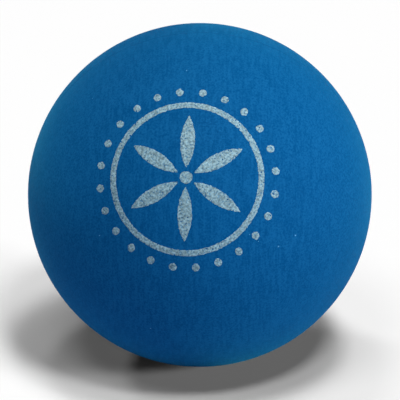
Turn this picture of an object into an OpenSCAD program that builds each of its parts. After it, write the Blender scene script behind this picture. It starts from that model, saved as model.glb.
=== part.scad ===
// A hollow rubber racquetball: two moulded half shells cemented edge to edge,
// ground round to a matte skin and printed on the front.
// The origin is the centre of the ball, +Z is up and the seam lies in the XZ plane.
// The print faces -Y, tilted up and turned a little towards -X, as the ball was set down.

/* [Ball] */
// Outer diameter, 2 1/4 inches
ball_d = 57.15; // [48:0.05:70]
// Wall thickness of each half shell
wall = 4.4; // [3:0.1:7]

/* [Seam] */
// Thickness of the cement film between the two edges
cement_t = 0.2; // [0.1:0.05:0.6]
// How far under the outer surface the film ends
cement_recess = 0.1; // [0.05:0.01:0.3]
// Leg of the bevel on the inner corner of each edge
edge_bevel = 0.7; // [0.3:0.1:1.5]
// How far the squeezed-out bead laps onto the inner wall past the bevel
bead_lap = 0.2; // [0.1:0.05:0.8]

/* [Print] */
// Thickness of the ink film
ink_t = 0.05; // [0.03:0.01:0.2]
// How far the print is turned above the horizon, in degrees
mark_lift = 27.5; // [0:0.5:40]
// How far the print is turned towards -X, in degrees
mark_turn = 5; // [-30:0.5:30]
// Diameter of the dot in the middle of the rosette
hub_d = 2; // [1:0.1:3]
// Gap between that dot and each petal
hub_gap = 0.5; // [0.3:0.1:1.5]
// Number of petals
petal_n = 6; // [4:1:8]
// Length of a petal
petal_len = 8.6; // [5:0.1:9]
// Width of a petal at its middle
petal_w = 2.3; // [1:0.1:3]
// Gap between the petals and the ring round them
ring_gap = 1.3; // [0.4:0.1:2]
// Width of the ring's line
ring_w = 0.9; // [0.5:0.1:2]
// Gap between the ring and the border of dots
dot_gap = 1.2; // [0.4:0.1:2]
// Diameter of a border dot
dot_d = 1.2; // [0.6:0.1:2]
// Number of border dots
dot_n = 24; // [12:1:30]

/* [Gas tablet] */
// Diameter of the spent tablet that gassed the ball
tablet_d = 7; // [4:0.5:12]
// Thickness of the spent tablet at its middle
tablet_h = 2; // [1:0.1:4]

/* [Hidden] */
$fn = 180;
// How far a cutter runs past what it cuts
overrun = 0.5;
outer_r = ball_d / 2;
inner_r = outer_r - wall;
// The bead fills the V between the two bevels and laps past it on both sides
bead_r = cement_t / 2 + edge_bevel + bead_lap;
petal_root_r = hub_d / 2 + hub_gap;
ring_inner_r = petal_root_r + petal_len + ring_gap;
dot_circle_r = ring_inner_r + ring_w + dot_gap + dot_d / 2;

// Lays a shape drawn round +Z round +Y, the axis of the seam.
module along_y() {
    rotate([-90, 0, 0]) children();
}

// The cutter that bevels the inner corner of an edge at 45 degrees. It is drawn
// as half a section: across is the distance from the axis, up is along the axis.
module edge_bevel_cutter() {
    edge = cement_t / 2;
    rotate_extrude()
        polygon([
            [inner_r - edge_bevel, edge - overrun],
            [inner_r + edge_bevel + overrun, edge - overrun],
            [inner_r - edge_bevel, edge + 2 * edge_bevel]
        ]);
}

// One moulded cup on the +Y side, its flat edge half a film short of the seam plane.
module half_shell() {
    difference() {
        sphere(r = outer_r);
        sphere(r = inner_r);
        translate([-ball_d, cement_t / 2 - 2 * ball_d, -ball_d]) cube(2 * ball_d);
        along_y() edge_bevel_cutter();
    }
}

module rear_half_shell() {
    color([0.08, 0.39, 0.65]) half_shell();
}

module front_half_shell() {
    color([0.08, 0.39, 0.65]) mirror([0, 1, 0]) half_shell();
}

// The cured cement: a thin washer between the edges and a round bead inside,
// shaped by the shells that it joins.
module seam_cement() {
    color([0.06, 0.25, 0.45])
        difference() {
            along_y()
                rotate_extrude() {
                    translate([inner_r, -cement_t / 2])
                        square([wall - cement_recess, cement_t]);
                    translate([inner_r, 0]) circle(r = bead_r);
                }
            half_shell();
            mirror([0, 1, 0]) half_shell();
        }
}

// A pointed leaf along +X, where two equal arcs cross.
module petal() {
    arc_r = (pow(petal_len / 2, 2) + pow(petal_w / 2, 2)) / petal_w;
    translate([petal_root_r + petal_len / 2, 0])
        intersection() {
            translate([0, arc_r - petal_w / 2]) circle(r = arc_r);
            translate([0, petal_w / 2 - arc_r]) circle(r = arc_r);
        }
}

// The flat drawing of the print: a rosette in a ring with a border of dots.
module mark_drawing() {
    circle(d = hub_d);
    for (i = [0 : petal_n - 1])
        rotate(90 + i * 360 / petal_n) petal();
    difference() {
        circle(r = ring_inner_r + ring_w);
        circle(r = ring_inner_r);
    }
    for (i = [0 : dot_n - 1])
        rotate(90 + (i + 0.5) * 360 / dot_n)
            translate([dot_circle_r, 0]) circle(d = dot_d);
}

// The ink film: the drawing pressed straight onto the ball from the front.
module printed_mark() {
    color([0.68, 0.73, 0.75])
        intersection() {
            difference() {
                sphere(r = outer_r + ink_t);
                sphere(r = outer_r);
            }
            rotate([90 - mark_lift, 0, -mark_turn])
                linear_extrude(height = ball_d) mark_drawing();
        }
}

// What is left of the tablet, caked onto the wall at the back of the rear shell.
module gas_tablet() {
    color([0.93, 0.92, 0.88])
        intersection() {
            sphere(r = inner_r);
            along_y()
                translate([0, 0, inner_r - tablet_h])
                    cylinder(d = tablet_d, h = tablet_h + overrun);
        }
}

front_half_shell();
rear_half_shell();
seam_cement();
printed_mark();
gas_tablet();
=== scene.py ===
"""The looks of a hollow rubber racquetball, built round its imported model.

Lengths are in metres in the model's own frame: the ball's centre is the origin, +Z is up,
the seam lies in the XZ plane and the print faces -Y, tilted up and turned a little to -X.
"""

import math

import bmesh
import bpy
import numpy as np
from mathutils import Matrix, Vector, noise

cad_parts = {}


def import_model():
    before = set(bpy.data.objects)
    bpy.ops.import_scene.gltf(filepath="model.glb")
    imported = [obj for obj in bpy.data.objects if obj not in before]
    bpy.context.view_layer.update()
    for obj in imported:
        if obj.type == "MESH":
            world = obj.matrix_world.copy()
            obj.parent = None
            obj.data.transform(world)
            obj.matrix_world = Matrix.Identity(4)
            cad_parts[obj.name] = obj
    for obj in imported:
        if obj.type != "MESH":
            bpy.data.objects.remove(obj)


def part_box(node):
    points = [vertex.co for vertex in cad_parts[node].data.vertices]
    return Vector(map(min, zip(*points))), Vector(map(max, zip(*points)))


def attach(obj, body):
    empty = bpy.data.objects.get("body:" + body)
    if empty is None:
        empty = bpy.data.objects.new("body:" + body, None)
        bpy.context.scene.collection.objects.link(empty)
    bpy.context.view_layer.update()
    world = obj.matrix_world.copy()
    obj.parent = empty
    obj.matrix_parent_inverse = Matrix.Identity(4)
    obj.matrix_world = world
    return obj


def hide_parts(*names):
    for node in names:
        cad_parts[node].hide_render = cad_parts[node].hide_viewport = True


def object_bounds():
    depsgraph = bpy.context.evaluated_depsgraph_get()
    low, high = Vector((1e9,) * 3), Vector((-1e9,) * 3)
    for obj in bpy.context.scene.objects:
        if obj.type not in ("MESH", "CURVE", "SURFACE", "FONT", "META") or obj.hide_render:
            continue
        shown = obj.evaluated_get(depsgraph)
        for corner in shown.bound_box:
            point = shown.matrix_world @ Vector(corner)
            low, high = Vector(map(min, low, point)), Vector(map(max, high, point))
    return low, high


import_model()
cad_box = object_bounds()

MM = 0.001

# The ball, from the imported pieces
BALL_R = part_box("rear_half_shell")[1].z
INNER_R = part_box("gas_tablet")[1].y
HALF_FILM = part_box("rear_half_shell")[0].y
BEAD_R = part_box("seam_cement")[1].y

# The shells' edges
EDGE_BEVEL = 0.7 * MM
EDGE_ROUNDING = 0.02 * MM
# The hollows that grinding leaves: their full depth, its share at the middle level, and for
# wide and narrow hollows their pitch, their share and where they are taken from the noise
HOLLOW_DEPTH = 0.03 * MM
HOLLOW_PITCH = 7 * MM
HOLLOW_MIDDLE_SHARE = 0.5
HOLLOWS = [
    (HOLLOW_PITCH, 0.35, Vector((0, 0, 0))),
    (HOLLOW_PITCH / 3, 0.15, Vector((5, 0, 0))),
]
# Steps round the seam, from pole to edge outside and inside, and round a rounded edge
TURN_STEPS = 256
OUTER_STEPS = 72
INNER_STEPS = 36
ROUNDING_STEPS = 4
# A ring narrower than this is a single point
POINT_R = 0.001 * MM
SHARP_ANGLE = math.radians(40)

# The cement: how far under the skin it ends and how much that varies, how far the bead
# overlaps the film and thins, and how often both vary round the seam
CEMENT_SINK = 0.012 * MM
CEMENT_SINK_VARIES = 0.008 * MM
BEAD_OVERLAP = 0.03 * MM
BEAD_THINNING_SHARE = 0.14
BEAD_STEPS = 14
SINK_WAVES = 9
BEAD_WAVES = 18

# The spent tablet: how much its rim and its top are worn, and how square its shoulder is
TABLET_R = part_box("gas_tablet")[1].x
TABLET_H = INNER_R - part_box("gas_tablet")[0].y
TABLET_RINGS = 22
TABLET_SIDES = 72
RIM_WEAR_SHARE = 0.1
RIM_WAVES = 3
RIM_NOISE_PLACE = Vector((0, 0, 7))
TOP_WEAR_SHARE = 0.2
TOP_WAVES = 6
SHOULDER_POWER = 6

# The print's drawing
MARK_LIFT = math.radians(27.5)
MARK_TURN = math.radians(5)
HUB_D = 2.0 * MM
HUB_GAP = 0.5 * MM
PETAL_N = 6
PETAL_LEN = 8.6 * MM
PETAL_W = 2.3 * MM
RING_GAP = 1.3 * MM
RING_W = 0.9 * MM
DOT_GAP = 1.2 * MM
DOT_D = 1.2 * MM
DOT_N = 24
PETAL_ROOT_R = HUB_D / 2 + HUB_GAP
RING_INNER_R = PETAL_ROOT_R + PETAL_LEN + RING_GAP
DOT_CIRCLE_R = RING_INNER_R + RING_W + DOT_GAP + DOT_D / 2

# The ink film: its thickness, the cell of its mesh and the spare width round the drawing,
# how far it is sunk into the rubber, the width and thickness share of its thin edge, and how
# uneven its top is
INK_T = 0.05 * MM
INK_CELL = 0.1 * MM
INK_MARGIN = 2 * INK_CELL
INK_SINK = 0.012 * MM
INK_SHOULDER = 0.18 * MM
INK_EDGE_SHARE = 0.3
INK_UNEVEN_SHARE = 0.1
INK_UNEVEN_PITCH = 0.5 * MM
# The ragged edge: for each size of notch its pitch, its depth and its level in the noise
INK_NOTCHES = [(0.6 * MM, 0.07 * MM, 0), (0.25 * MM, 0.09 * MM, 10)]
# Pinholes: their pitch, their level in the noise, the value above which the film is missing,
# and the distance that stands for a rise of 1 in value
PINHOLE_PITCH = 0.34 * MM
PINHOLE_LEVEL = 50
PINHOLE_START = 0.5
PINHOLE_SLOPE = 0.4 * MM

# Flecks of ink, by their pixel in the photograph and their width
FLECKS = [
    ((258, 241), 0.14 * MM),
    ((249, 234), 0.12 * MM),
    ((295, 235), 0.24 * MM),
    ((278, 246), 0.23 * MM),
    ((92, 98), 0.1 * MM),
    ((99, 235), 0.17 * MM),
    ((150, 328), 0.15 * MM),
    ((186, 70), 0.18 * MM),
]
FLECK_T = 0.03 * MM
FLECK_SIDES = 11
FLECK_UNEVEN_SHARE = 0.3

# The photograph's frame, and the ball's outline in it
PHOTO_SIDE_PX = 400
BALL_CENTRE_PX = (199.35, 194.42)
BALL_RADIUS_PX = 172.05
CAMERA_DISTANCE = 0.6
CAMERA_ELEVATION = math.radians(22)
CAMERA_RANGE = (0.06, 12.0)
SENSOR_WIDTH_MM = 36.0

# Lamps: azimuth from +X towards +Y, elevation and half width as seen from the ball, in
# degrees, and the level to which the lamp lights a white surface that faces it
LAMP_DISTANCE = 20.0
LAMPS = {
    "right_low": (-25, 15, 5, 0.36),
    "front_high": (-65, 60, 5, 0.27),
    "right_lowest": (-5, 5, 5, 0.2),
    "front_steep": (-55, 75, 5, 0.18),
    "right_steep": (-30, 80, 5, 0.15),
    "front_left_wide": (-120, 65, 10, 0.13),
    "rear_left_low": (135, 35, 5, 0.13),
    "rear_left_high": (115, 75, 5, 0.09),
    "overhead": (-50, 85, 5, 0.05),
}
WORLD_LEVEL = 0.01
WHITE = (1, 1, 1, 1)
FLOOR_SIDE = 6.0
# The light that the floor sends up is a soft blue-grey, as on the photographed underside
FLOOR_BOUNCE = (0.42, 0.49, 0.64, 1)

# The values between which a material's noise nearly always lies
NOISE_LOW, NOISE_HIGH = 0.3, 0.7
# The sockets of the colour mix node
MIX_FACTOR, MIX_A, MIX_B, MIX_RESULT = 0, 6, 7, 2

# Each material's noises are given as (size, detail, share), its roughness as
# (size, detail, lowest, highest) and its bump as (size, detail, depth).
SHEEN_TINT = (0.06, 0.78, 1.0, 1)

RUBBER_LIGHT = (0.005, 0.125, 0.346, 1)
RUBBER_DARK = (0.0006, 0.083, 0.26, 1)
RUBBER_SPECULAR = 0.02
RUBBER_SHEEN = 0.18
RUBBER_SHEEN_ROUGHNESS = 0.5
RUBBER_GRAIN = [
    (11 * MM, 3, 0.03),
    (6 * MM, 3, 0.03),
    (1.8 * MM, 2, 0.05),
    (0.8 * MM, 2, 0.06),
    (0.3 * MM, 2, 0.31),
]
RUBBER_LINES = [(0.42 * MM, 1, 0.16)]
RUBBER_ROUGHNESS = (1.2 * MM, 3, 0.68, 0.82)
RUBBER_BUMP = (0.3 * MM, 3, 0.006 * MM)
RUBBER_LINE_BUMP = (0.42 * MM, 1, 0.004 * MM)
# The range of the grain's lightness that runs from the dark to the light blue
GRAIN_LOW, GRAIN_HIGH = 0.75, 1.25
# The grinding lines: how drawn out they are, and between which distances from the YZ plane
# they fade out
LINE_STRETCH = (1, 8, 8)
LINE_FADE = (0.5 * BALL_R, 0.85 * BALL_R)

CEMENT_BLUE = (0.001, 0.085, 0.255, 1)
CEMENT_SPECULAR = 0.02
CEMENT_SHEEN = 0.15
CEMENT_SHEEN_ROUGHNESS = 0.5
CEMENT_GRAIN = [(1.1 * MM, 3, 0.15)]
CEMENT_ROUGHNESS = (0.8 * MM, 3, 0.5, 0.7)
CEMENT_BUMP = (0.5 * MM, 3, 0.02 * MM)

INK_GREY = (0.265, 0.425, 0.485, 1)
INK_THIN = (0.06, 0.19, 0.33, 1)
INK_SPECULAR = 0.2
INK_GRAIN = [(2.5 * MM, 2, 0.05), (0.36 * MM, 1, 0.38)]
INK_ROUGHNESS = (0.4 * MM, 2, 0.5, 0.7)
INK_BUMP = (0.25 * MM, 2, 0.008 * MM)
# Thin spots: their size and detail, the noise's values from full to thin, and how thin at most
INK_THIN_SPOTS = (0.28 * MM, 1)
INK_THIN_RANGE = (0.52, 0.68)
INK_THIN_MOST = 0.85

FLECK_BLUE = (0.1, 0.42, 0.75, 1)
FLECK_GRAIN = [(0.1 * MM, 1, 0.1)]
FLECK_ROUGHNESS = (0.2 * MM, 2, 0.5, 0.7)
FLECK_BUMP = (0.1 * MM, 2, 0.004 * MM)

CHALK_WHITE = (0.82, 0.8, 0.73, 1)
CHALK_STAIN = (0.55, 0.5, 0.38, 1)
CHALK_SPECULAR = 0.1
CHALK_GRAIN = [(0.4 * MM, 3, 0.08)]
CHALK_ROUGHNESS = (0.7 * MM, 2, 0.85, 1)
CHALK_BUMP = (0.35 * MM, 4, 0.05 * MM)
# Stains: their size and detail, the noise's values from clean to stained, and the most stain
STAIN_SPOTS = (1.6 * MM, 4)
STAIN_RANGE = (0.5, 0.7)
STAIN_MOST = 0.7


# Shapes


def unit_noise(place):
    """Smooth noise at a place, between 0 and 1."""
    return 0.5 + 0.5 * noise.noise(place)


def turn_after(i, count):
    """The angle after i of count equal steps round a full turn."""
    return 2 * math.pi * i / count


def surface_radius(direction):
    """How far the ground skin lies from the centre in that direction."""
    hollow_share = HOLLOW_MIDDLE_SHARE
    for pitch, share, place in HOLLOWS:
        hollow_share += share * noise.noise(direction * (BALL_R / pitch) + place)
    return BALL_R - HOLLOW_DEPTH * min(max(hollow_share, 0), 1)


def piece_from(bm, name, material, slot, *nodes):
    """Makes a riding piece of the mesh, in place of the named nodes."""
    bmesh.ops.recalc_face_normals(bm, faces=bm.faces)
    mesh = bpy.data.meshes.new(name)
    bm.to_mesh(mesh)
    bm.free()
    for polygon in mesh.polygons:
        polygon.use_smooth = True
    mesh.set_sharp_from_angle(angle=SHARP_ANGLE)
    mesh.materials.append(material)
    piece = bpy.data.objects.new(name, mesh)
    bpy.context.scene.collection.objects.link(piece)
    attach(piece, "root")
    if nodes:
        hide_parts(*nodes)
    # The photograph's shadow is a neutral grey, so the ball's blue isn't thrown onto the floor
    piece.visible_diffuse = False
    return piece


def join_rings(bm, first, second):
    """Faces between two closed rings of vertices, either of which may be one point."""
    count = max(len(first), len(second))
    for i in range(count):
        corners = [
            first[i % len(first)],
            first[(i + 1) % len(first)],
            second[(i + 1) % len(second)],
            second[i % len(second)],
        ]
        bm.faces.new(list(dict.fromkeys(corners)))


def shell_section():
    """Half of the wall's section, from the outer pole round the edge to the inner pole,
    as (distance from the axis, height over the seam plane, whether it is ground)."""
    ground_end = HALF_FILM + EDGE_ROUNDING
    last_angle = math.acos(ground_end / BALL_R)
    section = []
    for i in range(OUTER_STEPS + 1):
        angle = last_angle * i / OUTER_STEPS
        section.append((BALL_R * math.sin(angle), BALL_R * math.cos(angle), True))
    for i in range(1, ROUNDING_STEPS + 1):
        angle = math.pi / 2 * i / ROUNDING_STEPS
        out = BALL_R - EDGE_ROUNDING * (1 - math.cos(angle))
        section.append((out, ground_end - EDGE_ROUNDING * math.sin(angle), False))
    section.append((INNER_R + EDGE_BEVEL, HALF_FILM, False))
    bevel_end = HALF_FILM + EDGE_BEVEL
    first_angle = math.acos(bevel_end / INNER_R)
    for i in range(INNER_STEPS + 1):
        angle = first_angle * (1 - i / INNER_STEPS)
        section.append((INNER_R * math.sin(angle), INNER_R * math.cos(angle), False))
    return section


def half_shell(name, side, material):
    """One closed cup. Side is 1 for the cup towards +Y and -1 for the one towards -Y."""
    bm = bmesh.new()
    rings = []
    for out, along, ground in shell_section():
        ring = []
        for i in range(TURN_STEPS if out > POINT_R else 1):
            angle = turn_after(i, TURN_STEPS)
            place = Vector((out * math.cos(angle), side * along, out * math.sin(angle)))
            if ground:
                place = place.normalized() * surface_radius(place.normalized())
            ring.append(bm.verts.new(place))
        rings.append(ring)
    for first, second in zip(rings, rings[1:]):
        join_rings(bm, first, second)
    node = "rear_half_shell" if side > 0 else "front_half_shell"
    return piece_from(bm, name, material, "blue_rubber", node)


def cement_section(angle):
    """The cement's closed section at that angle round the seam."""
    spot = Vector((math.cos(angle), 0, math.sin(angle)))
    end = BALL_R - CEMENT_SINK + CEMENT_SINK_VARIES * noise.noise(spot * SINK_WAVES)
    bead = BEAD_R * (1 - BEAD_THINNING_SHARE * unit_noise(spot * BEAD_WAVES))
    wall_end = HALF_FILM + EDGE_BEVEL
    wall_r = math.sqrt(INNER_R ** 2 - wall_end ** 2)
    upper = [(end, HALF_FILM), (INNER_R + EDGE_BEVEL, HALF_FILM), (wall_r, wall_end)]
    round_bead = []
    for i in range(BEAD_STEPS + 1):
        turn = math.pi / 2 + math.pi * i / BEAD_STEPS
        round_bead.append((wall_r + bead * math.cos(turn) - BEAD_OVERLAP, bead * math.sin(turn)))
    lower = [(out, -along) for out, along in reversed(upper)]
    return upper + round_bead + lower


def seam_cement(material):
    """The film between the edges with the bead that squeezed out inside."""
    bm = bmesh.new()
    rings = []
    for i in range(TURN_STEPS):
        angle = turn_after(i, TURN_STEPS)
        ring = [
            bm.verts.new((out * math.cos(angle), along, out * math.sin(angle)))
            for out, along in cement_section(angle)
        ]
        rings.append(ring)
    for first, second in zip(rings, rings[1:] + rings[:1]):
        join_rings(bm, first, second)
    return piece_from(bm, "cement_ring", material, "cured_cement", "seam_cement")


def tablet_ring(k):
    """The cake's ring k from its middle out, as (x, z, the wall's y, the cake top's y)."""
    share = k / TABLET_RINGS
    ring = []
    for i in range(TABLET_SIDES if k else 1):
        angle = turn_after(i, TABLET_SIDES)
        spot = Vector((math.cos(angle), math.sin(angle), 0)) * share
        rim = 1 - RIM_WEAR_SHARE * unit_noise(spot * RIM_WAVES + RIM_NOISE_PLACE)
        x = TABLET_R * rim * spot.x
        z = TABLET_R * rim * spot.y
        wall_y = math.sqrt(INNER_R ** 2 - x * x - z * z)
        top = 1 - TOP_WEAR_SHARE * unit_noise(spot * TOP_WAVES)
        height = TABLET_H * top * math.sqrt(1 - share ** SHOULDER_POWER)
        ring.append((x, z, wall_y, min(INNER_R - height, wall_y)))
    return ring


def gas_tablet(material):
    """The caked rest of the tablet on the rear wall, worn round at its rim."""
    bm = bmesh.new()
    rings = [tablet_ring(k) for k in range(TABLET_RINGS + 1)]
    top = [[bm.verts.new((x, top_y, z)) for x, z, wall_y, top_y in ring] for ring in rings]
    under = [[bm.verts.new((x, wall_y, z)) for x, z, wall_y, top_y in ring] for ring in rings[:-1]]
    under.append(top[-1])
    for side in (top, under):
        for first, second in zip(side, side[1:]):
            join_rings(bm, first, second)
    return piece_from(bm, "spent_tablet_cake", material, "spent_tablet", "gas_tablet")


# The print


def mark_axes():
    """The print's own right, up and outward directions."""
    turned = Matrix.Rotation(-MARK_TURN, 3, "Z") @ Matrix.Rotation(math.pi / 2 - MARK_LIFT, 3, "X")
    return turned.col[0], turned.col[1], turned.col[2]


def disc_distance(u, v, radius):
    """Signed distance from a round spot's edge, below zero inside."""
    return np.hypot(u, v) - radius


def petal_distance(u, v):
    """Signed distance from the nearest petal's edge, each side of which is an arc."""
    arc_r = ((PETAL_LEN / 2) ** 2 + (PETAL_W / 2) ** 2) / PETAL_W
    arc_offset = arc_r - PETAL_W / 2
    middle = PETAL_ROOT_R + PETAL_LEN / 2
    nearest = np.full_like(u, np.inf)
    for i in range(PETAL_N):
        angle = math.pi / 2 + turn_after(i, PETAL_N)
        along = u * math.cos(angle) + v * math.sin(angle) - middle
        across = v * math.cos(angle) - u * math.sin(angle)
        one_side = disc_distance(along, across + arc_offset, arc_r)
        other_side = disc_distance(along, across - arc_offset, arc_r)
        nearest = np.minimum(nearest, np.maximum(one_side, other_side))
    return nearest


def dot_distance(u, v):
    """Signed distance from the nearest border dot's edge."""
    nearest = np.full_like(u, np.inf)
    for i in range(DOT_N):
        angle = math.pi / 2 + turn_after(i + 0.5, DOT_N)
        from_dot_u = u - DOT_CIRCLE_R * math.cos(angle)
        from_dot_v = v - DOT_CIRCLE_R * math.sin(angle)
        nearest = np.minimum(nearest, disc_distance(from_dot_u, from_dot_v, DOT_D / 2))
    return nearest


def rosette_distance(u, v):
    """Signed distance from the edge of the clean drawing."""
    ring = np.abs(np.hypot(u, v) - RING_INNER_R - RING_W / 2) - RING_W / 2
    hub = disc_distance(u, v, HUB_D / 2)
    return np.minimum.reduce([hub, petal_distance(u, v), ring, dot_distance(u, v)])


def printed_distance(u, v, clean):
    """The clean distance at a point, with the screen's ragged edge and pinholes."""
    distance = clean
    for pitch, depth, level in INK_NOTCHES:
        distance += depth * noise.noise(Vector((u / pitch, v / pitch, level)))
    spot = Vector((u / PINHOLE_PITCH, v / PINHOLE_PITCH, PINHOLE_LEVEL))
    return max(distance, PINHOLE_SLOPE * (noise.noise(spot) - PINHOLE_START))


def on_ball(u, v, height):
    """The place over the ball's skin that the print's point (u, v) is pressed onto."""
    right, up, out = mark_axes()
    direction = (right * u + up * v + out * math.sqrt(BALL_R ** 2 - u * u - v * v)).normalized()
    return direction * (surface_radius(direction) + height)


def film_height(depth, u, v):
    """The film's thickness that far inside its edge."""
    share = min(max(depth / INK_SHOULDER, 0), 1)
    smooth = share * share * (3 - 2 * share)
    uneven = noise.noise(Vector((u, v, 0)) / INK_UNEVEN_PITCH)
    top = 1 - INK_UNEVEN_SHARE + INK_UNEVEN_SHARE * uneven
    return INK_T * (INK_EDGE_SHARE + (1 - INK_EDGE_SHARE) * smooth) * top


class InkFilm:
    """The film's mesh, cut out of a square grid along the ragged edge."""

    def __init__(self):
        half = DOT_CIRCLE_R + DOT_D / 2 + INK_MARGIN
        count = 2 * round(half / INK_CELL) + 1
        self.axis = (np.arange(count) - count // 2) * INK_CELL
        u, v = np.meshgrid(self.axis, self.axis, indexing="ij")
        self.field = rosette_distance(u, v)
        reach = sum(depth for pitch, depth, level in INK_NOTCHES) + INK_MARGIN
        for i, j in zip(*np.nonzero(self.field < reach)):
            self.field[i, j] = printed_distance(u[i, j], v[i, j], self.field[i, j])
        self.bm = bmesh.new()
        self.pairs = {}

    def pair(self, key, u, v, depth):
        """The film's upper and lower vertex at a point, made once."""
        if key not in self.pairs:
            top = self.bm.verts.new(on_ball(u, v, film_height(depth, u, v)))
            bottom = self.bm.verts.new(on_ball(u, v, -INK_SINK))
            self.pairs[key] = (top, bottom)
        return self.pairs[key]

    def corner(self, i, j):
        """The pair at a corner of the grid."""
        return self.pair((i, j), self.axis[i], self.axis[j], -self.field[i, j])

    def crossing(self, a, b):
        """The pair where the edge of the ink crosses the grid line from corner a to b."""
        a, b = sorted((a, b))
        share = self.field[a] / (self.field[a] - self.field[b])
        u = self.axis[a[0]] + share * (self.axis[b[0]] - self.axis[a[0]])
        v = self.axis[a[1]] + share * (self.axis[b[1]] - self.axis[a[1]])
        return self.pair((a, b), u, v, 0)

    def outlines(self, i, j):
        """The inked polygons of a cell, as lists of (pair, whether it lies on the edge)."""
        corners = [(i, j), (i + 1, j), (i + 1, j + 1), (i, j + 1)]
        inked = [self.field[c] < 0 for c in corners]
        walk = []
        for k, here in enumerate(corners):
            after = (k + 1) % len(corners)
            if inked[k]:
                walk.append((self.corner(*here), False))
            if inked[k] != inked[after]:
                walk.append((self.crossing(here, corners[after]), True))
        # Two opposite corners with ink, and none half-way between them, make two triangles
        opposite = sum(inked) == 2 and inked[0] == inked[2]
        if opposite and sum(self.field[c] for c in corners) > 0:
            start = 0 if inked[0] else 1
            rolled = walk[start:] + walk[:start]
            return [[rolled[0], rolled[1], rolled[5]], rolled[2:5]]
        return [walk]

    def fill(self):
        """Makes the film's upper and lower faces and the walls along its edge."""
        inked = self.field < 0
        touched = inked[:-1, :-1] | inked[1:, :-1] | inked[1:, 1:] | inked[:-1, 1:]
        for i, j in zip(*np.nonzero(touched)):
            for outline in self.outlines(int(i), int(j)):
                self.bm.faces.new([top for (top, bottom), on_edge in outline])
                self.bm.faces.new([bottom for (top, bottom), on_edge in reversed(outline)])
                for k, (here, on_edge) in enumerate(outline):
                    after, after_on_edge = outline[(k + 1) % len(outline)]
                    if on_edge and after_on_edge:
                        self.bm.faces.new([after[0], here[0], here[1], after[1]])


def printed_mark(material):
    """The rosette's ink film."""
    film = InkFilm()
    film.fill()
    return piece_from(film.bm, "ink_print", material, "silver_ink", "printed_mark")


def fleck(bm, centre, width):
    """A small closed drop of ink on the ball, uneven in outline."""
    out = centre.normalized()
    side = out.cross(Vector((0, 0, 1))).normalized()
    up = side.cross(out)
    rims = []
    for height in (FLECK_T * INK_EDGE_SHARE, -INK_SINK):
        rim = []
        for i in range(FLECK_SIDES):
            angle = turn_after(i, FLECK_SIDES)
            uneven = noise.noise(centre / MM + Vector((angle, 0, 0)))
            reach = width / 2 * (1 + FLECK_UNEVEN_SHARE * uneven)
            place = (centre + (side * math.cos(angle) + up * math.sin(angle)) * reach).normalized()
            rim.append(bm.verts.new(place * (surface_radius(place) + height)))
        rims.append(rim)
    top = [bm.verts.new(out * (surface_radius(out) + FLECK_T))]
    bottom = [bm.verts.new(out * (surface_radius(out) - INK_SINK))]
    for first, second in zip([top, *rims], [*rims, bottom]):
        join_rings(bm, first, second)


def ink_flecks(material):
    """The stray drops of ink that the printing left round the rosette."""
    bm = bmesh.new()
    for pixel, width in FLECKS:
        fleck(bm, ball_point(pixel), width)
    return piece_from(bm, "ink_flecks", material, "silver_ink")


# Materials


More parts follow.
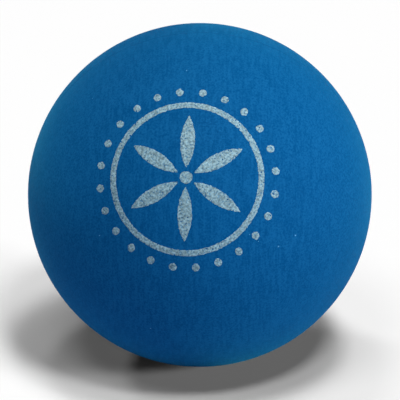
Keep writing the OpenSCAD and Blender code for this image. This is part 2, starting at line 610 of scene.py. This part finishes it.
class Shader:
    """A material and short calls for the nodes that the materials share."""

    def __init__(self, name, **values):
        self.material = bpy.data.materials.new(name)
        self.material.use_nodes = True
        self.tree = self.material.node_tree
        self.surface = self.tree.nodes["Principled BSDF"]
        for socket, value in values.items():
            self.surface.inputs[socket.replace("_", " ")].default_value = value
        self.place = self.add("TexCoord").outputs["Object"]

    def add(self, kind, **settings):
        """A new node of that kind."""
        node = self.tree.nodes.new("ShaderNode" + kind)
        for name, value in settings.items():
            setattr(node, name, value)
        return node

    def feed(self, socket, value):
        """Links a socket to another node's output, or sets its value."""
        if isinstance(value, bpy.types.NodeSocket):
            self.tree.links.new(value, socket)
        else:
            socket.default_value = value

    def noise(self, size, detail, stretch=(1, 1, 1)):
        """Noise with features of about that size, longer along an axis by its stretch."""
        mapping = self.add("Mapping")
        self.feed(mapping.inputs["Vector"], self.place)
        mapping.inputs["Scale"].default_value = [1 / (size * s) for s in stretch]
        texture = self.add("TexNoise")
        self.feed(texture.inputs["Vector"], mapping.outputs["Vector"])
        texture.inputs["Scale"].default_value = 1
        texture.inputs["Detail"].default_value = detail
        return texture.outputs[0]

    def lines(self, size, detail):
        """Noise drawn out into lines round the X axis, and plain noise at the ball's two sides."""
        parts = self.add("SeparateXYZ")
        self.feed(parts.inputs[0], self.place)
        aside = self.math("ABSOLUTE", parts.outputs["X"], 0)
        plainness = self.spread(aside, *LINE_FADE, 0, 1)
        drawn_out = self.noise(size, detail, LINE_STRETCH)
        difference = self.math("SUBTRACT", self.noise(size, detail), drawn_out)
        return self.math("ADD", drawn_out, self.math("MULTIPLY", difference, plainness))

    def spread(self, value, low, high, to_low, to_high):
        """Stretches the range from low to high over the range from to_low to to_high."""
        node = self.add("MapRange", clamp=True)
        for socket, number in zip(node.inputs, (value, low, high, to_low, to_high)):
            self.feed(socket, number)
        return node.outputs[0]

    def math(self, operation, first, second):
        """The result of a sum on two values."""
        node = self.add("Math", operation=operation)
        self.feed(node.inputs[0], first)
        self.feed(node.inputs[1], second)
        return node.outputs[0]

    def mix(self, factor, first, second):
        """The first colour where the factor is 0 and the second where it is 1."""
        node = self.add("Mix", data_type="RGBA")
        for index, value in ((MIX_FACTOR, factor), (MIX_A, first), (MIX_B, second)):
            self.feed(node.inputs[index], value)
        return node.outputs[MIX_RESULT]

    def shade(self, colour, factor):
        """The colour made lighter or darker by a factor."""
        node = self.add("VectorMath", operation="SCALE")
        self.feed(node.inputs[0], colour[:3] if isinstance(colour, tuple) else colour)
        self.feed(node.inputs["Scale"], factor)
        return node.outputs[0]

    def varied(self, noises, lines=()):
        """A factor round 1 from noises and lines, each (size, detail, share)."""
        patterns = [(self.noise(size, detail), share) for size, detail, share in noises]
        patterns += [(self.lines(size, detail), share) for size, detail, share in lines]
        total = 1.0
        for value, share in patterns:
            factor = self.spread(value, NOISE_LOW, NOISE_HIGH, 1 - share, 1 + share)
            total = self.math("MULTIPLY", total, factor)
        return total

    def spots(self, size, detail, start_and_end, most):
        """Spots of that size, from 0 round them to the most inside them."""
        return self.spread(self.noise(size, detail), *start_and_end, 0, most)

    def paint(self, colour):
        """Sets the surface's colour."""
        self.feed(self.surface.inputs["Base Color"], colour)

    def roughen(self, size, detail, lowest, highest):
        """Makes the roughness vary between two values."""
        value = self.spread(self.noise(size, detail), NOISE_LOW, NOISE_HIGH, lowest, highest)
        self.feed(self.surface.inputs["Roughness"], value)

    def bump(self, height, depth):
        """Adds a bump to the surface's normal, over any bump that it has."""
        node = self.add("Bump")
        node.inputs["Strength"].default_value = 1
        node.inputs["Distance"].default_value = depth
        self.feed(node.inputs["Height"], height)
        normal = self.surface.inputs["Normal"]
        if normal.is_linked:
            self.feed(node.inputs["Normal"], normal.links[0].from_socket)
        self.feed(normal, node.outputs["Normal"])

    def noise_bump(self, size, detail, depth):
        """Adds a bump of plain noise."""
        self.bump(self.noise(size, detail), depth)

    def line_bump(self, size, detail, depth):
        """Adds a bump of lines."""
        self.bump(self.lines(size, detail), depth)


def rubber_material():
    """Matte ground rubber, clouded, with a fine grain and faint upright grinding lines."""
    shader = Shader(
        "ground_blue_rubber",
        Specular_IOR_Level=RUBBER_SPECULAR,
        Sheen_Weight=RUBBER_SHEEN,
        Sheen_Roughness=RUBBER_SHEEN_ROUGHNESS,
        Sheen_Tint=SHEEN_TINT,
    )
    variation = shader.varied(RUBBER_GRAIN, RUBBER_LINES)
    lightness = shader.spread(variation, GRAIN_LOW, GRAIN_HIGH, 0, 1)
    shader.paint(shader.mix(lightness, RUBBER_DARK, RUBBER_LIGHT))
    shader.roughen(*RUBBER_ROUGHNESS)
    shader.noise_bump(*RUBBER_BUMP)
    shader.line_bump(*RUBBER_LINE_BUMP)
    return shader.material


def cement_material():
    """Cured cement, darker than the rubber, with small lumps."""
    shader = Shader(
        "dull_cement",
        Specular_IOR_Level=CEMENT_SPECULAR,
        Sheen_Weight=CEMENT_SHEEN,
        Sheen_Roughness=CEMENT_SHEEN_ROUGHNESS,
        Sheen_Tint=SHEEN_TINT,
    )
    shader.paint(shader.shade(CEMENT_BLUE, shader.varied(CEMENT_GRAIN)))
    shader.roughen(*CEMENT_ROUGHNESS)
    shader.noise_bump(*CEMENT_BUMP)
    return shader.material


def ink_material():
    """Dull silver-grey screen ink, thin enough in spots for the blue to show through."""
    shader = Shader("speckled_ink", Specular_IOR_Level=INK_SPECULAR)
    thin = shader.spots(*INK_THIN_SPOTS, INK_THIN_RANGE, INK_THIN_MOST)
    colour = shader.mix(thin, INK_GREY, INK_THIN)
    shader.paint(shader.shade(colour, shader.varied(INK_GRAIN)))
    shader.roughen(*INK_ROUGHNESS)
    shader.noise_bump(*INK_BUMP)
    return shader.material


def fleck_material():
    """Ink so thin that the drops look pale blue."""
    shader = Shader("thin_ink", Specular_IOR_Level=INK_SPECULAR)
    shader.paint(shader.shade(FLECK_BLUE, shader.varied(FLECK_GRAIN)))
    shader.roughen(*FLECK_ROUGHNESS)
    shader.noise_bump(*FLECK_BUMP)
    return shader.material


def tablet_material():
    """Dry chalky residue, stained in patches."""
    shader = Shader("chalky_tablet", Specular_IOR_Level=CHALK_SPECULAR)
    stains = shader.spots(*STAIN_SPOTS, STAIN_RANGE, STAIN_MOST)
    colour = shader.mix(stains, CHALK_WHITE, CHALK_STAIN)
    shader.paint(shader.shade(colour, shader.varied(CHALK_GRAIN)))
    shader.roughen(*CHALK_ROUGHNESS)
    shader.noise_bump(*CHALK_BUMP)
    return shader.material


# Stage


def shown_ray(tree):
    """1 for rays that see the background: from the camera, off gloss or through glass."""
    path = tree.nodes.new("ShaderNodeLightPath")
    total = path.outputs["Is Camera Ray"]
    for name in ("Is Glossy Ray", "Is Transmission Ray"):
        node = tree.nodes.new("ShaderNodeMath")
        node.operation = "MAXIMUM"
        tree.links.new(total, node.inputs[0])
        tree.links.new(path.outputs[name], node.inputs[1])
        total = node.outputs[0]
    return total


def floor_material():
    """Plain white where it is seen, and darker where it sends light back up."""
    material = bpy.data.materials.new("floor")
    material.use_nodes = True
    tree = material.node_tree
    tree.nodes.clear()
    white = tree.nodes.new("ShaderNodeBsdfDiffuse")
    white.inputs["Color"].default_value = WHITE
    bounce = tree.nodes.new("ShaderNodeBsdfDiffuse")
    bounce.inputs["Color"].default_value = FLOOR_BOUNCE
    choice = tree.nodes.new("ShaderNodeMixShader")
    tree.links.new(shown_ray(tree), choice.inputs[0])
    tree.links.new(bounce.outputs[0], choice.inputs[1])
    tree.links.new(white.outputs[0], choice.inputs[2])
    output = tree.nodes.new("ShaderNodeOutputMaterial")
    tree.links.new(choice.outputs[0], output.inputs["Surface"])
    return material


def floor():
    """A plain floor under the ball that keeps its shadow."""
    bm = bmesh.new()
    bmesh.ops.create_grid(bm, x_segments=1, y_segments=1, size=FLOOR_SIDE / 2)
    mesh = bpy.data.meshes.new("floor")
    bm.to_mesh(mesh)
    bm.free()
    mesh.materials.append(floor_material())
    plane = bpy.data.objects.new("floor", mesh)
    plane.location.z = cad_box[0].z
    bpy.context.scene.collection.objects.link(plane)


def direction_to(azimuth, elevation):
    """The unit direction at an azimuth from +X towards +Y and an elevation, in degrees."""
    turn = math.radians(azimuth)
    rise = math.radians(elevation)
    return Vector((math.cos(turn) * math.cos(rise), math.sin(turn) * math.cos(rise), math.sin(rise)))


def lamp(name, azimuth, elevation, half_width, level):
    """A round soft lamp that lights a facing white surface at the ball to the level."""
    data = bpy.data.lights.new(name, "AREA")
    data.shape = "DISK"
    data.size = 2 * LAMP_DISTANCE * math.tan(math.radians(half_width))
    data.energy = level * (math.pi * LAMP_DISTANCE) ** 2
    # Sampled directly only, so that no bounced light carries the ball's blue to the floor
    data.cycles.use_multiple_importance_sampling = False
    light = bpy.data.objects.new(name, data)
    light.location = direction_to(azimuth, elevation) * LAMP_DISTANCE
    light.rotation_mode = "QUATERNION"
    light.rotation_quaternion = light.location.to_track_quat("Z", "Y")
    light.visible_camera = False
    bpy.context.scene.collection.objects.link(light)


def world():
    """A faint even light, and plain white where the background shows."""
    made = bpy.data.worlds.new("world")
    made.use_nodes = True
    tree = made.node_tree
    background = tree.nodes["Background"]
    background.inputs["Color"].default_value = WHITE
    strength = tree.nodes.new("ShaderNodeMapRange")
    strength.inputs["To Min"].default_value = WORLD_LEVEL
    tree.links.new(shown_ray(tree), strength.inputs["Value"])
    tree.links.new(strength.outputs[0], background.inputs["Strength"])
    bpy.context.scene.world = made


def camera_axes():
    """The camera's right and up, and the direction back from the ball's centre to it."""
    right = Vector((1, 0, 0))
    back = Vector((0, -math.cos(CAMERA_ELEVATION), math.sin(CAMERA_ELEVATION)))
    return right, back.cross(right), back


def focal_px():
    """The lens's length in pixels, which gives the ball its photographed outline."""
    return BALL_RADIUS_PX / math.tan(math.asin(BALL_R / CAMERA_DISTANCE))


def ball_point(pixel):
    """The point of the ball's near side that a pixel of the photograph shows."""
    right, up, back = camera_axes()
    ray = right * (pixel[0] - BALL_CENTRE_PX[0]) - up * (pixel[1] - BALL_CENTRE_PX[1])
    ray = (ray - back * focal_px()).normalized()
    eye = back * CAMERA_DISTANCE
    near = -eye.dot(ray) - math.sqrt(eye.dot(ray) ** 2 - eye.length_squared + BALL_R ** 2)
    return eye + ray * near


def camera():
    """The photograph's camera, aimed a little under the ball's centre."""
    data = bpy.data.cameras.new("camera")
    data.sensor_width = SENSOR_WIDTH_MM
    data.lens = focal_px() / PHOTO_SIDE_PX * SENSOR_WIDTH_MM
    data.clip_start, data.clip_end = CAMERA_RANGE
    made = bpy.data.objects.new("camera", data)
    right, up, back = camera_axes()
    middle = (PHOTO_SIDE_PX - 1) / 2
    aside = (middle - BALL_CENTRE_PX[0]) / focal_px()
    below = (middle - BALL_CENTRE_PX[1]) / focal_px()
    aim = -back + right * aside - up * below
    made.location = back * CAMERA_DISTANCE
    made.rotation_mode = "QUATERNION"
    made.rotation_quaternion = aim.to_track_quat("-Z", "Y")
    bpy.context.scene.collection.objects.link(made)
    bpy.context.scene.camera = made


def ball():
    """All pieces of the ball."""
    rubber = rubber_material()
    half_shell("front_shell", -1, rubber)
    half_shell("rear_shell", 1, rubber)
    seam_cement(cement_material())
    printed_mark(ink_material())
    ink_flecks(fleck_material())
    gas_tablet(tablet_material())


def stage():
    """The floor, the lights and the camera."""
    floor()
    world()
    for name, values in LAMPS.items():
        lamp(name, *values)
    camera()
    bpy.context.scene.view_settings.view_transform = "Standard"


ball()
stage()
